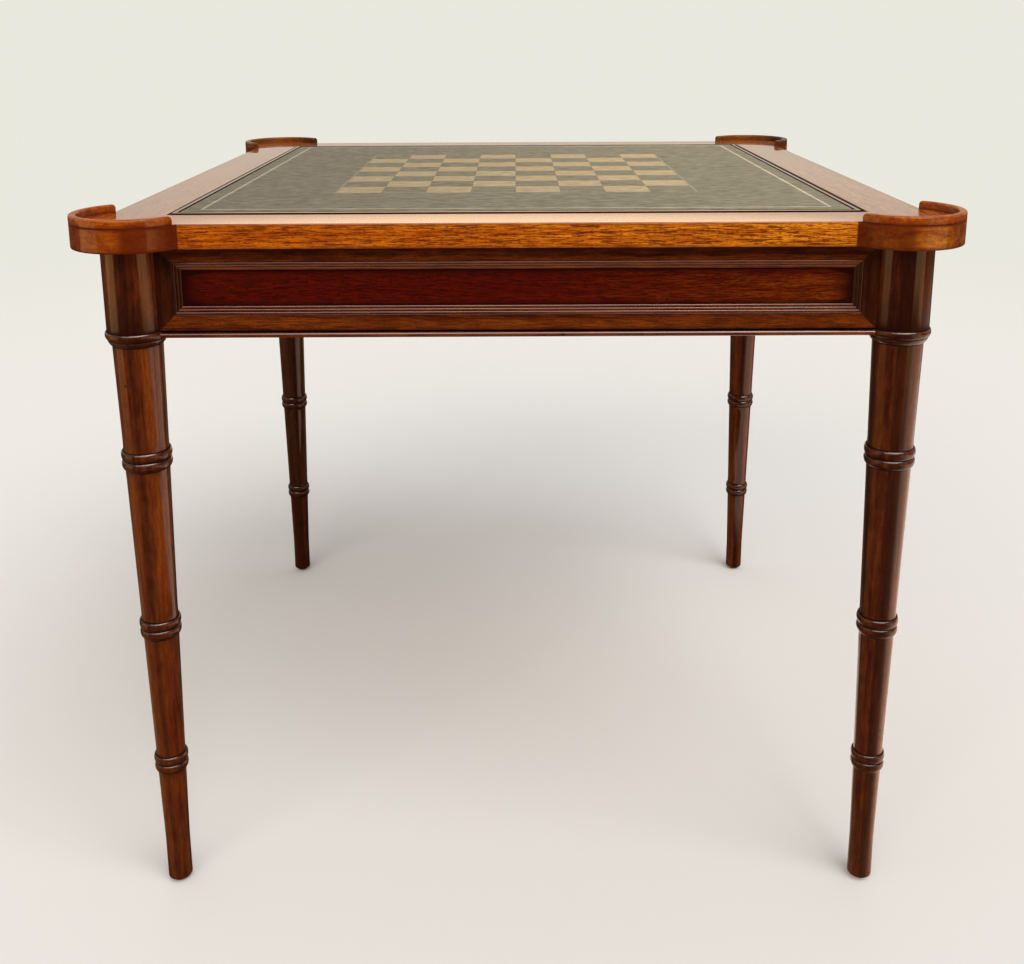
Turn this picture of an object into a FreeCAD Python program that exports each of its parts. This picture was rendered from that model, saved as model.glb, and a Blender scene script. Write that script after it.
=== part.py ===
import FreeCAD, Part
import math
import os

# Square game table: turned faux-bamboo legs, panelled aprons, a mitred top frame with a round
# galleried lobe over each leg, and a loose reversible panel with a tooled leather chessboard.
# Millimetres, floor at Z = 0, origin under the middle of the table, front towards -Y.

# Stance and top frame
leg_spacing = 750.0
top_height = 735.0
top_thickness = 24.0
top_overhang = 30.0
top_rail_width = 59.0
top_arris = 1.0
lobe_radius = 59.5
lobe_inset = 4.0
lobe_cove = 4.0

# Gallery fence on each lobe
gallery_rise = 8.0
gallery_thickness = 7.5
gallery_round = 2.4

# Loose tongues in the mitres of the top
tongue_length = 44.0
tongue_width = 24.0
tongue_thickness = 4.0
tongue_above_middle = 4.0

# Turned legs
post_diameter = 57.0
leg_top_diameter = 48.8
foot_diameter = 25.4
foot_length = 48.0
foot_arris = 2.5
collar_height = 8.0
collar_proud = 1.9
under_collar_height = 6.5
under_collar_diameter = 56.0
under_collar_round = 1.2
ring_height = 20.0
ring_proud = 2.9
ring_groove_proud = 0.7
ring_edge_proud = 0.5
low_ring_height = 148.0
middle_ring_height = 307.0
high_ring_height = 493.0
spigot_diameter = 20.0
spigot_length = 10.0

# Nail glides under the feet
glide_height = 4.0
glide_diameter = 18.0
glide_nail_diameter = 2.5
glide_nail_length = 14.0

# Aprons: rail, mitred border, reeded moulding and bottom bead
apron_height = 91.0
apron_face_offset = 12.5
apron_rail_thickness = 18.0
border_thickness = 5.0
border_width = 16.0
reed_count = 3
reed_width = 2.7
reed_bulge = 0.7
reed_step = 1.3
moulding_set_back = 0.3
bead_height = 5.5
bead_proud = 2.0
bead_quirk = 1.5
tenon_thickness = 9.0
tenon_shoulder_top = 14.0
tenon_shoulder_bottom = 20.0
tenon_tip_gap = 10.0

# Ledges that carry the loose panel, and corner blocks behind the legs
ledge_height = 15.0
ledge_bearing = 12.0
block_height = 45.0
block_leg = 85.0
block_drop = 6.0

# Wood screws
screw_shank_diameter = 4.0
screw_head_diameter = 8.0
screw_head_height = 2.4
ledge_top_screw_bite = 13.0
ledge_side_screw_bite = 11.0
block_screw_bite = 11.0
block_screw_wood = 12.0
block_screw_inset = 26.0

# Loose panel
panel_gap = 4.0
panel_shift = 1.0
panel_proud = 1.0
lipping_width = 7.0
lipping_arris = 1.0
leather_thickness = 1.5
veneer_thickness = 1.5

# Gold tooling on the leather
gilt_thickness = 0.15
square_side = 50.0
squares_per_side = 8
square_gap = 0.4
board_line_gap = 0.4
board_line_width = 1.6
border_line_inset = 24.0
border_line_width = 3.0

# Fits and cuts
glue_gap = 0.15
cope_gap = 0.2
cope_lap = 1.0
overrun = 5.0

# Places along a ledge, as shares of half its length
top_screw_shares = (-0.8, 0.0, 0.8)
side_screw_shares = (-0.45, 0.45)

# Derived places
leg_axis = leg_spacing / 2
post_radius = post_diameter / 2
collar_radius = post_radius + collar_proud
top_half = leg_axis + top_overhang
lobe_axis = leg_axis - lobe_inset
lobe_overhang = top_half - lobe_axis
opening_half = top_half - top_rail_width
top_underside = top_height - top_thickness
apron_bottom = top_underside - apron_height
apron_face = leg_axis + apron_face_offset
rail_face = apron_face - border_thickness
rail_back = rail_face - apron_rail_thickness
collar_bottom = apron_bottom + bead_height / 2 - collar_height / 2
collar_top = collar_bottom + collar_height
leg_taper_top = collar_bottom - under_collar_height
leg_taper_bottom = glide_height + foot_length
border_bottom = apron_bottom + bead_height + bead_quirk
moulding_width = reed_count * reed_width
ledge_bottom = top_underside - ledge_height
ledge_inner = opening_half - panel_gap - ledge_bearing
panel_half = opening_half - panel_gap
panel_top = top_height + panel_proud
field_half = panel_half - lipping_width
gilt_bottom = panel_top - gilt_thickness
quarter_turn = 90.0
half_root = math.sqrt(0.5)

sides = ("front", "right", "back", "left")
corners = ("front_left", "front_right", "back_right", "back_left")


def vec(x, y, z=0.0):
    return FreeCAD.Vector(x, y, z)


def block(low, high):
    """Box between two corners."""
    size = [b - a for a, b in zip(low, high)]
    return Part.makeBox(*size, vec(*low))


def turned(shape, steps, axis=vec(0, 0, 1)):
    """Copy turned by quarter turns about an axis through the origin, upright unless told otherwise."""
    copy = shape.copy()
    copy.rotate(vec(0, 0), axis, quarter_turn * steps)
    return copy


def moved(shape, x, y, z=0.0):
    """Copy shifted by a vector."""
    copy = shape.copy()
    copy.translate(vec(x, y, z))
    return copy


def line(start, end):
    return Part.LineSegment(start, end).toShape()


def arc(start, middle, end):
    return Part.Arc(start, middle, end).toShape()


def polygon_prism(points, height):
    """Prism on a flat polygon, raised along Z."""
    face = Part.Face(Part.makePolygon(points + points[:1]))
    return face.extrude(vec(0, 0, height))


def save(name, *solids):
    """Write one node, as one solid or as a group of separate solids."""
    shape = solids[0] if len(solids) == 1 else Part.makeCompound(list(solids))
    if not shape.isValid():
        print("not valid:", name)
    shape.exportStep("parts/" + name + ".step")


def leg_radius(z):
    """Radius of the plain tapered leg at a height."""
    share = (z - leg_taper_bottom) / (leg_taper_top - leg_taper_bottom)
    return (foot_diameter + max(0.0, share) * (leg_top_diameter - foot_diameter)) / 2


def lathe_point(radius, z):
    return vec(radius, 0, z)


def double_ring(middle):
    """Two beads with a groove between, the joint of a bamboo stem, from the top down."""
    high = middle + ring_height / 2
    low = middle - ring_height / 2
    upper = (high + middle) / 2
    lower = (low + middle) / 2
    top = lathe_point(leg_radius(high) + ring_edge_proud, high)
    groove = lathe_point(leg_radius(middle) + ring_groove_proud, middle)
    bottom = lathe_point(leg_radius(low) + ring_edge_proud, low)
    edges = [
        line(lathe_point(leg_radius(high), high), top),
        arc(top, lathe_point(leg_radius(upper) + ring_proud, upper), groove),
        arc(groove, lathe_point(leg_radius(lower) + ring_proud, lower), bottom),
        line(bottom, lathe_point(leg_radius(low), low)),
    ]
    return edges, high, low


def leg():
    """Front left leg, turned in one piece, with a spigot above and mortises for two rails."""
    post_top = top_underside + spigot_length
    spigot_radius = spigot_diameter / 2
    under_radius = under_collar_diameter / 2
    collar_middle = (collar_top + collar_bottom) / 2
    under_middle = (collar_bottom + leg_taper_top) / 2
    leg_start = lathe_point(leg_radius(leg_taper_top), leg_taper_top)
    under_start = lathe_point(under_radius, collar_bottom)
    under_swell = (under_radius + leg_start.x) / 2 + under_collar_round
    edges = [
        line(lathe_point(0, post_top), lathe_point(spigot_radius, post_top)),
        line(lathe_point(spigot_radius, post_top), lathe_point(spigot_radius, top_underside)),
        line(lathe_point(spigot_radius, top_underside), lathe_point(post_radius, top_underside)),
        line(lathe_point(post_radius, top_underside), lathe_point(post_radius, collar_top)),
        arc(lathe_point(post_radius, collar_top), lathe_point(collar_radius, collar_middle), under_start),
        arc(under_start, lathe_point(under_swell, under_middle), leg_start),
    ]
    reached = leg_taper_top
    for middle in (high_ring_height, middle_ring_height, low_ring_height):
        ring, high, low = double_ring(middle)
        edges.append(line(lathe_point(leg_radius(reached), reached), lathe_point(leg_radius(high), high)))
        edges += ring
        reached = low
    foot_radius = foot_diameter / 2
    bend = foot_arris * (1 - half_root)
    edges += [
        line(lathe_point(leg_radius(reached), reached), lathe_point(foot_radius, leg_taper_bottom)),
        line(lathe_point(foot_radius, leg_taper_bottom), lathe_point(foot_radius, glide_height + foot_arris)),
        arc(
            lathe_point(foot_radius, glide_height + foot_arris),
            lathe_point(foot_radius - bend, glide_height + bend),
            lathe_point(foot_radius - foot_arris, glide_height),
        ),
        line(lathe_point(foot_radius - foot_arris, glide_height), lathe_point(0, glide_height)),
        line(lathe_point(0, glide_height), lathe_point(0, post_top)),
    ]
    solid = Part.Face(Part.Wire(edges)).revolve(vec(0, 0), vec(0, 0, 1), 4 * quarter_turn)
    nail_radius = glide_nail_diameter / 2 + glue_gap
    nail_hole = Part.makeCylinder(nail_radius, glide_nail_length + glue_gap, vec(0, 0, glide_height))
    solid = moved(solid.cut(nail_hole), -leg_axis, -leg_axis)
    sockets = [tenon(-1, glue_gap), turned(tenon(1, glue_gap), -1)]
    return solid.cut(sockets)


def glide():
    """Front left nail glide: a pressed metal dome on a nail."""
    radius = glide_diameter / 2
    flat = radius - glide_height
    bend = glide_height * (1 - half_root)
    swell = lathe_point(radius - bend, bend)
    nail_radius = glide_nail_diameter / 2
    nail_top = glide_height + glide_nail_length
    edges = [
        line(lathe_point(0, 0), lathe_point(flat, 0)),
        arc(lathe_point(flat, 0), swell, lathe_point(radius, glide_height)),
        line(lathe_point(radius, glide_height), lathe_point(nail_radius, glide_height)),
        line(lathe_point(nail_radius, glide_height), lathe_point(nail_radius, nail_top)),
        line(lathe_point(nail_radius, nail_top), lathe_point(0, nail_top)),
        line(lathe_point(0, nail_top), lathe_point(0, 0)),
    ]
    solid = Part.Face(Part.Wire(edges)).revolve(vec(0, 0), vec(0, 0, 1), 4 * quarter_turn)
    return moved(solid, -leg_axis, -leg_axis)


def tenon(hand, spare=0.0):
    """Tenon on the front rail's left (-1) or right (1) end, enlarged by a spare all round for its mortise."""
    root = leg_axis - post_radius - apron_rail_thickness / 2
    tip = leg_axis - tenon_tip_gap + spare
    middle = (rail_face + rail_back) / 2
    half = tenon_thickness / 2 + spare
    x_low, x_high = sorted((hand * root, hand * tip))
    low = (x_low, -middle - half, apron_bottom + tenon_shoulder_bottom - spare)
    high = (x_high, -middle + half, top_underside - tenon_shoulder_top + spare)
    return block(low, high)


def post_envelopes():
    """What the two front legs take out of anything that is coped round them."""
    tools = []
    for hand in (-1, 1):
        base = vec(hand * leg_axis, -leg_axis, apron_bottom - overrun)
        tools.append(Part.makeCylinder(post_radius + cope_gap, apron_height + 2 * overrun, base))
        collar = vec(hand * leg_axis, -leg_axis, collar_bottom - cope_gap)
        tools.append(Part.makeCylinder(collar_radius + cope_gap, collar_height + 2 * cope_gap, collar))
    return tools


def apron_rail(holes):
    """Front rail, coped to the posts and tenoned into them. Its face is the recessed panel."""
    body = block((-leg_axis, -rail_face, apron_bottom), (leg_axis, -rail_back, top_underside))
    body = body.cut(post_envelopes())
    return body.fuse([tenon(-1), tenon(1)]).removeSplitter().cut(holes)


def mitred_strip(section, length, width, height):
    """Strip along X whose section runs over Y from its outer to its inner edge, with mitred ends."""
    bar = section.extrude(vec(length, 0, 0))
    bar.translate(vec(-length / 2, 0))
    points = [
        vec(-length / 2, 0),
        vec(length / 2, 0),
        vec(length / 2 - width, width),
        vec(width - length / 2, width),
    ]
    return bar.common(polygon_prism(points, height))


def mitred_frame(section, length, breadth, width, height):
    """Four mitred strips round a rectangle that lies flat about the origin: bottom, right, top, left."""
    strips = []
    for step in range(4):
        run, out = (length, breadth) if step % 2 == 0 else (breadth, length)
        strip = moved(mitred_strip(section, run, width, height), 0, -out / 2)
        strips.append(turned(strip, step))
    return strips


def onto_apron(shape, middle):
    """Stand a flat shape up on the front rail's face, centred at a height."""
    upright = turned(shape, 1, axis=vec(1, 0, 0))
    return moved(upright, 0, -rail_face, middle)


def plain_section(width, height):
    points = [vec(0, 0), vec(0, width), vec(0, width, height), vec(0, 0, height)]
    return Part.Face(Part.makePolygon(points + points[:1]))


def reeded_section():
    """Three small reeds that step down from the border to the panel."""
    edges = []
    crown = border_thickness - moulding_set_back - reed_bulge
    start = vec(0, 0, 0)
    for reed in range(reed_count):
        left = vec(0, reed * reed_width, crown - reed * reed_step)
        right = vec(0, left.y + reed_width, left.z)
        edges.append(line(start, left))
        edges.append(arc(left, vec(0, left.y + reed_width / 2, left.z + reed_bulge), right))
        start = right
    foot = vec(0, start.y, 0)
    edges += [line(start, foot), line(foot, vec(0, 0, 0))]
    return Part.Face(Part.Wire(edges))


def border_size():
    """Outer length and height of the apron border, which runs out to the posts at its face."""
    reach = math.sqrt((post_radius + cope_gap) ** 2 - apron_face_offset**2)
    return 2 * (leg_axis - reach), top_underside - border_bottom


def apron_border():
    """Mitred flat border on the front rail, its uprights coped to the posts."""
    length, breadth = border_size()
    grown = length + 2 * cope_lap
    middle = (top_underside + border_bottom) / 2
    width = border_width + cope_lap
    section = plain_section(width, border_thickness)
    flat_strips = mitred_frame(section, grown, breadth + 2 * cope_lap, width, border_thickness)
    room = block((-leg_axis, -apron_face, border_bottom), (leg_axis, -rail_face, top_underside))
    strips = []
    for strip in flat_strips:
        placed = onto_apron(strip, middle).common(room)
        strips.append(placed.cut(post_envelopes()))
    return strips


def panel_moulding():
    """Mitred reeded moulding between the border and the recessed panel."""
    length, breadth = border_size()
    middle = (top_underside + border_bottom) / 2
    inner = (length - 2 * border_width, breadth - 2 * border_width)
    strips = mitred_frame(reeded_section(), *inner, moulding_width, border_thickness)
    return [onto_apron(strip, middle) for strip in strips]


def apron_bead():
    """Half-round bead along the bottom of the front rail."""
    back = -rail_face
    front = -(apron_face + bead_proud)
    round_radius = bead_height / 2
    low = vec(-leg_axis, front + round_radius, apron_bottom)
    high = vec(-leg_axis, front + round_radius, apron_bottom + bead_height)
    nose = vec(-leg_axis, front, apron_bottom + round_radius)
    back_low = vec(-leg_axis, back, apron_bottom)
    back_high = vec(-leg_axis, back, apron_bottom + bead_height)
    edges = [line(back_low, low), arc(low, nose, high), line(high, back_high), line(back_high, back_low)]
    bar = Part.Face(Part.Wire(edges)).extrude(vec(leg_spacing, 0, 0))
    return bar.cut(post_envelopes())


def cove_points():
    """Where the small cove between the front edge and a lobe leaves the edge and the lobe, and its middle.

    Measured from the lobe's centre, towards the middle of the edge and towards the front.
    """
    to_cove = lobe_radius + lobe_cove
    drop = lobe_overhang + lobe_cove
    along = math.sqrt(to_cove**2 - drop**2)
    on_edge = (along, lobe_overhang)
    on_lobe = (along * lobe_radius / to_cove, drop * lobe_radius / to_cove)
    bisector = vec(-along / to_cove, -drop / to_cove - 1).normalize() * lobe_cove
    middle = (along + bisector.x, drop + bisector.y)
    return on_edge, on_lobe, middle


def lobe_end_angle():
    """Angle below the X axis at which a front left lobe ends at the cove, in degrees."""
    (x, y) = cove_points()[1]
    return math.degrees(math.atan2(y, x))


def on_lobe(angle, radius):
    """Point on the front left lobe at an angle in degrees."""
    turn = math.radians(angle)
    return vec(-lobe_axis + radius * math.cos(turn), -lobe_axis + radius * math.sin(turn))


def mirrored(point):
    return vec(-point.x, point.y, point.z)


def top_rail(holes):
    """Front rail of the top, with half a lobe at each end and mitres through the lobes."""
    edge, lobe, cove = cove_points()
    corner = on_lobe(-quarter_turn * 1.5, lobe_radius)
    lobe_middle = on_lobe((-quarter_turn * 1.5 - lobe_end_angle()) / 2, lobe_radius)
    lobe_end = vec(-lobe_axis + lobe[0], -lobe_axis - lobe[1])
    cove_middle = vec(-lobe_axis + cove[0], -lobe_axis - cove[1])
    edge_start = vec(-lobe_axis + edge[0], -lobe_axis - edge[1])
    inner = vec(-opening_half, -opening_half)
    edges = [
        line(inner, corner),
        arc(corner, lobe_middle, lobe_end),
        arc(lobe_end, cove_middle, edge_start),
        line(edge_start, mirrored(edge_start)),
        arc(mirrored(edge_start), mirrored(cove_middle), mirrored(lobe_end)),
        arc(mirrored(lobe_end), mirrored(lobe_middle), mirrored(corner)),
        line(mirrored(corner), mirrored(inner)),
        line(mirrored(inner), inner),
    ]
    solid = Part.Face(Part.Wire(edges)).extrude(vec(0, 0, top_thickness))
    solid.translate(vec(0, 0, top_underside))
    solid = solid.makeFillet(top_arris, rim_edges(solid))
    sockets = [spigot_socket(-1), spigot_socket(1)]
    slots = [tongue(glue_gap), turned(tongue(glue_gap), 1)]
    return solid.cut(sockets + slots + holes)


def rim_edges(solid):
    """Level edges of the front rail of the top, without those of its mitres."""
    found = []
    for edge in solid.Edges:
        level = abs(edge.BoundBox.ZLength) < glue_gap
        ends = [vertex.Point for vertex in edge.Vertexes]
        on_mitre = all(abs(abs(p.x) - abs(p.y)) < glue_gap for p in ends)
        straight_inner = on_mitre and abs(ends[0].y - ends[1].y) < glue_gap
        if level and (not on_mitre or straight_inner):
            found.append(edge)
    return found


def spigot_socket(hand):
    """Blind hole in the underside of the top for a leg's spigot."""
    base = vec(hand * leg_axis, -leg_axis, top_underside - overrun)
    return Part.makeCylinder(spigot_diameter / 2 + glue_gap, overrun + spigot_length + glue_gap, base)


def tongue(spare=0.0):
    """Loose tongue across the front left mitre of the top, enlarged by a spare for its slot."""
    middle = (top_height + top_underside) / 2 + tongue_above_middle
    half = (tongue_length / 2 + spare, tongue_width / 2 + spare, tongue_thickness / 2 + spare)
    flat = block([-h for h in half], half)
    flat.rotate(vec(0, 0), vec(0, 0, 1), quarter_turn / 2)
    mitre_middle = (opening_half + lobe_axis + lobe_radius * half_root) / 2
    return moved(flat, -mitre_middle, -mitre_middle, middle)


def gallery():
    """Front left gallery: a low fence bent round the outside of the lobe, with rounded ends."""
    inner = lobe_radius - gallery_thickness
    top = top_height + gallery_rise
    bend = gallery_round * (1 - half_root)
    base_in = lathe_point(inner, top_height)
    base_out = lathe_point(lobe_radius, top_height)
    out_low = lathe_point(lobe_radius, top - gallery_round)
    out_high = lathe_point(lobe_radius - gallery_round, top)
    in_high = lathe_point(inner + gallery_round, top)
    in_low = lathe_point(inner, top - gallery_round)
    edges = [
        line(base_in, base_out),
        line(base_out, out_low),
        arc(out_low, lathe_point(lobe_radius - bend, top - bend), out_high),
        line(out_high, in_high),
        arc(in_high, lathe_point(inner + bend, top - bend), in_low),
        line(in_low, base_in),
    ]
    section = Part.Face(Part.Wire(edges))
    start = quarter_turn + lobe_end_angle()
    sweep = 3 * quarter_turn - 2 * lobe_end_angle()
    section.rotate(vec(0, 0), vec(0, 0, 1), start)
    fence = section.revolve(vec(0, 0), vec(0, 0, 1), sweep)
    crowns = []
    for edge in fence.Edges:
        level = abs(edge.BoundBox.ZMin - top) < glue_gap
        if level and edge.Length < gallery_thickness:
            crowns.append(edge)
    fence = fence.makeFillet(gallery_round, crowns)
    return moved(fence, -lobe_axis, -lobe_axis)


def panel_ledge(step, holes):
    """Front ledge, screwed to the apron and to the top, or a shorter side one between two of these."""
    end = rail_back - post_radius if step % 2 == 0 else ledge_inner
    low = (-end, -rail_back, ledge_bottom)
    high = (end, -ledge_inner, top_underside)
    return block(low, high).cut(holes)


def corner_block(holes):
    """Front left glue block behind the leg, between two aprons."""
    top = ledge_bottom - block_drop
    points = [
        vec(-rail_back, -rail_back),
        vec(-rail_back + block_leg, -rail_back),
        vec(-rail_back, -rail_back + block_leg),
    ]
    solid = moved(polygon_prism(points, block_height), 0, 0, top - block_height)
    return solid.cut(post_envelopes()[:1]).cut(holes)


def screw(length, spare=0.0, run_out=0.0):
    """Countersunk wood screw along Z with its head at zero, or its hole with a spare and a run-out."""
    head = screw_head_diameter / 2 + spare
    shank = screw_shank_diameter / 2 + spare
    solid = Part.makeCone(head, shank, screw_head_height)
    neck = vec(0, 0, screw_head_height)
    solid = solid.fuse(Part.makeCylinder(shank, length + spare - screw_head_height, neck))
    if run_out:
        solid = solid.fuse(Part.makeCylinder(head, run_out, vec(0, 0, -run_out)))
    return solid.removeSplitter()


def ledge_screws(spare=0.0, run_out=0.0):
    """Screws of the front ledge: upright ones into the top, level ones into the apron."""
    half = ledge_inner
    upright = screw(ledge_height + ledge_top_screw_bite, spare, run_out)
    level = screw(rail_back - ledge_inner + ledge_side_screw_bite, spare, run_out)
    level = turned(level, 1, axis=vec(1, 0, 0))
    y_up = -(rail_back + opening_half) / 2
    z_level = (ledge_bottom + top_underside) / 2
    placed = [moved(upright, share * half, y_up, ledge_bottom) for share in top_screw_shares]
    placed += [moved(level, share * half, -ledge_inner, z_level) for share in side_screw_shares]
    return placed


def block_screws(spare=0.0, run_out=0.0):
    """The front left block's two screws, each square to an apron and sunk in a pocket."""
    length = block_screw_wood + block_screw_bite
    level = turned(screw(length, spare, run_out), 1, axis=vec(1, 0, 0))
    z = ledge_bottom - block_drop - block_height / 2
    into_front = moved(level, -rail_back + block_leg - block_screw_inset, -rail_back + block_screw_wood, z)
    swapped = into_front.mirror(vec(0, 0), vec(half_root, -half_root))
    return [into_front, swapped]


def on_panel(half, low, high):
    """Flat square layer of the loose panel."""
    return block((-half - panel_shift, -half, low), (half - panel_shift, half, high))


def lipping():
    """Four mitred lippings round the panel's edge, with eased outer arrises."""
    height = panel_top - top_underside
    bend = lipping_arris * (1 - half_root)
    low_out = vec(0, lipping_arris, 0)
    low_edge = vec(0, 0, lipping_arris)
    high_edge = vec(0, 0, height - lipping_arris)
    high_out = vec(0, lipping_arris, height)
    inner_high = vec(0, lipping_width, height)
    inner_low = vec(0, lipping_width, 0)
    edges = [
        arc(low_out, vec(0, bend, bend), low_edge),
        line(low_edge, high_edge),
        arc(high_edge, vec(0, bend, height - bend), high_out),
        line(high_out, inner_high),
        line(inner_high, inner_low),
        line(inner_low, low_out),
    ]
    section = Part.Face(Part.Wire(edges))
    strips = mitred_frame(section, 2 * panel_half, 2 * panel_half, lipping_width, height)
    return [moved(strip, -panel_shift, 0, top_underside) for strip in strips]


def gilt_ring(outer_half, width):
    """Thin square gold line pressed into the leather."""
    inner_half = outer_half - width
    outer = on_panel(outer_half, gilt_bottom, panel_top)
    return outer.cut(on_panel(inner_half, gilt_bottom, panel_top))


def gilt_squares():
    """Every other square of the board, with gold at the front left."""
    squares = []
    start = -square_side * squares_per_side / 2
    for column in range(squares_per_side):
        for row in range(column % 2, squares_per_side, 2):
            x = start + column * square_side - panel_shift + square_gap / 2
            y = start + row * square_side + square_gap / 2
            low = (x, y, gilt_bottom)
            high = (x + square_side - square_gap, y + square_side - square_gap, panel_top)
            squares.append(block(low, high))
    return squares


os.makedirs("parts", exist_ok=True)

front_leg = leg()
front_glide = glide()
front_gallery = gallery()
holes_in_ledge = ledge_screws(glue_gap, overrun)
holes_in_block = block_screws(glue_gap, block_leg)
front_block = corner_block(holes_in_block)
all_block_holes = holes_in_block + [turned(hole, 1) for hole in holes_in_block]
front_rail = apron_rail(holes_in_ledge + all_block_holes)
front_top_rail = top_rail(holes_in_ledge)
for step, (side, corner) in enumerate(zip(sides, corners)):
    save("leg_" + corner, turned(front_leg, step))
    save("foot_glide_" + corner, turned(front_glide, step))
    save("corner_gallery_" + corner, turned(front_gallery, step))
    save("corner_block_" + corner, turned(front_block, step))
    save("apron_rail_" + side, turned(front_rail, step))
    save("apron_border_" + side, *[turned(strip, step) for strip in apron_border()])
    save("panel_moulding_" + side, *[turned(strip, step) for strip in panel_moulding()])
    save("apron_bead_" + side, turned(apron_bead(), step))
    save("top_rail_" + side, turned(front_top_rail, step))
    save("panel_ledge_" + side, turned(panel_ledge(step, holes_in_ledge), step))

quarters = range(len(sides))
save("mitre_tongues", *[turned(tongue(), step) for step in quarters])
save("ledge_screws", *[turned(piece, step) for step in quarters for piece in ledge_screws()])
save("corner_block_screws", *[turned(piece, step) for step in quarters for piece in block_screws()])

squares = gilt_squares()
board_line_half = square_side * squares_per_side / 2 + board_line_gap + board_line_width
board_line = gilt_ring(board_line_half, board_line_width)
border_line = gilt_ring(panel_half - border_line_inset + border_line_width / 2, border_line_width)
save("gilt_squares", *squares)
save("gilt_board_line", board_line)
save("gilt_border_line", border_line)

core_bottom = top_underside + veneer_thickness
leather_bottom = panel_top - leather_thickness
leather = on_panel(field_half, leather_bottom, panel_top)
save("panel_leather", leather.cut(squares + [board_line, border_line]))
save("panel_core", on_panel(field_half, core_bottom, leather_bottom))
save("panel_reverse_veneer", on_panel(field_half, top_underside, core_bottom))
for side, strip in zip(sides, lipping()):
    save("panel_lipping_" + side, strip)
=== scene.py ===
import bpy
import math
import numpy as np
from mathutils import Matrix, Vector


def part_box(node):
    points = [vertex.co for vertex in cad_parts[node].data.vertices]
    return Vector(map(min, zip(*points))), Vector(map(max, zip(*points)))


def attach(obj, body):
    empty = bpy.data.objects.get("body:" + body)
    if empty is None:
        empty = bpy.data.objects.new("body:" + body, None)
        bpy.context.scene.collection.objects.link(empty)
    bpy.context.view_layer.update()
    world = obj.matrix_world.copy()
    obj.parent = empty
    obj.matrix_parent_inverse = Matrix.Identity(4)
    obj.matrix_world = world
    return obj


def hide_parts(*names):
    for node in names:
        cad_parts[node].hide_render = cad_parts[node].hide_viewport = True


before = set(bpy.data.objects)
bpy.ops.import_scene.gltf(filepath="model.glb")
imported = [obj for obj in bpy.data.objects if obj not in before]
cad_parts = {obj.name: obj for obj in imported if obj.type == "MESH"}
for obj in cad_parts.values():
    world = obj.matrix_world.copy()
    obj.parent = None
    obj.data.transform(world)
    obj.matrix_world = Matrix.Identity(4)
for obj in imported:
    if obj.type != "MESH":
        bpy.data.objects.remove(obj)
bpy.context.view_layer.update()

# Turned legs
# Each leg is one length of mahogany, turned to look like bamboo: a plain post, a collar, and a
# tapered stem with three double rings. The post is mortised for the aprons and pegged into the top.
mm = 0.001
corners = ("front_left", "front_right", "back_right", "back_left")
leg_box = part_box("leg_front_left")
leg_axis = -(leg_box[0].x + leg_box[1].x) / 2
foot_bottom = leg_box[0].z
post_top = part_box("top_rail_front")[0].z
post_radius = 28.5 * mm
collar_low, collar_high = 618.75 * mm, 626.75 * mm
collar_swell = 2.15 * mm
under_collar_low = 612.25 * mm
under_collar_radius = 28 * mm
under_collar_swell = 1.2 * mm
stem_top_radius = 24.4 * mm
foot_radius = 12.7 * mm
foot_top = 52 * mm
foot_easing = 2.5 * mm
ring_heights = np.array((148, 307, 493)) * mm
ring_half = 10 * mm
ring_lip = 0.5 * mm
ring_groove = 0.7 * mm
ring_swell = 2.3 * mm
stem_fillet = 0.45 * mm
stem_fillet_reach = 3 * mm
groove_line = 0.8 * mm
ring_reach, ring_patina = 13 * mm, 0.42
floor_reach, floor_patina = 32 * mm, 0.5
bead_patina = 0.7
bead_shade, bead_shade_patina = 4 * mm, 0.23
bead_steps = 17
stem_steps = 33
turning_steps = 128
sharp_angle = math.radians(38)


def stem_radius(height):
    """Radius of the plain stem: straight taper from the top of the foot to the collar."""
    share = np.clip((height - foot_top) / (under_collar_low - foot_top), 0, 1)
    return foot_radius + share * (stem_top_radius - foot_radius)


def turned_bead(low, high, low_radius, high_radius, swell):
    """Profile of a bead between two heights: a straight line between its edges plus half an ellipse."""
    angle = np.linspace(0, np.pi, bead_steps)
    share = (1 - np.cos(angle)) / 2
    radius = low_radius + (high_radius - low_radius) * share + swell * np.sin(angle)
    return np.stack((radius, low + (high - low) * share), axis=-1)


def stem_run(low, high, fillet_low, fillet_high):
    """Profile of a stretch of stem: the taper, flared by a dying curve towards a ring at either end."""
    share = (1 - np.cos(np.linspace(0, np.pi, stem_steps))) / 2
    height = low + (high - low) * share
    flare = fillet_low * np.exp(-(height - low) / stem_fillet_reach)
    flare = flare + fillet_high * np.exp(-(high - height) / stem_fillet_reach)
    return np.stack((stem_radius(height) + flare, height), axis=-1)


def leg_profile():
    """Radius and height of the whole leg from the foot up: easing, foot, stems and rings, collar, post."""
    angle = np.linspace(0, np.pi / 2, bead_steps)
    easing_radius = foot_radius - foot_easing * (1 - np.sin(angle))
    easing_height = foot_bottom + foot_easing * (1 - np.cos(angle))
    runs = [np.stack((easing_radius, easing_height), axis=-1)]
    reached, fillet = foot_top, 0.0
    for middle in ring_heights:
        low, high = middle - ring_half, middle + ring_half
        groove = stem_radius(middle) + ring_groove
        runs.append(stem_run(reached, low, fillet, stem_fillet))
        runs.append(turned_bead(low, middle, stem_radius(low) + ring_lip, groove, ring_swell))
        runs.append(turned_bead(middle, high, groove, stem_radius(high) + ring_lip, ring_swell)[1:])
        reached, fillet = high, stem_fillet
    runs.append(stem_run(reached, under_collar_low, fillet, 0.0))
    under_collar = (stem_top_radius, under_collar_radius, under_collar_swell)
    runs.append(turned_bead(under_collar_low, collar_low, *under_collar)[1:])
    collar = (under_collar_radius, post_radius, collar_swell)
    runs.append(turned_bead(collar_low, collar_high, *collar)[1:])
    runs.append(np.array([(post_radius, post_top)]))
    return np.concatenate(runs)


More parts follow.
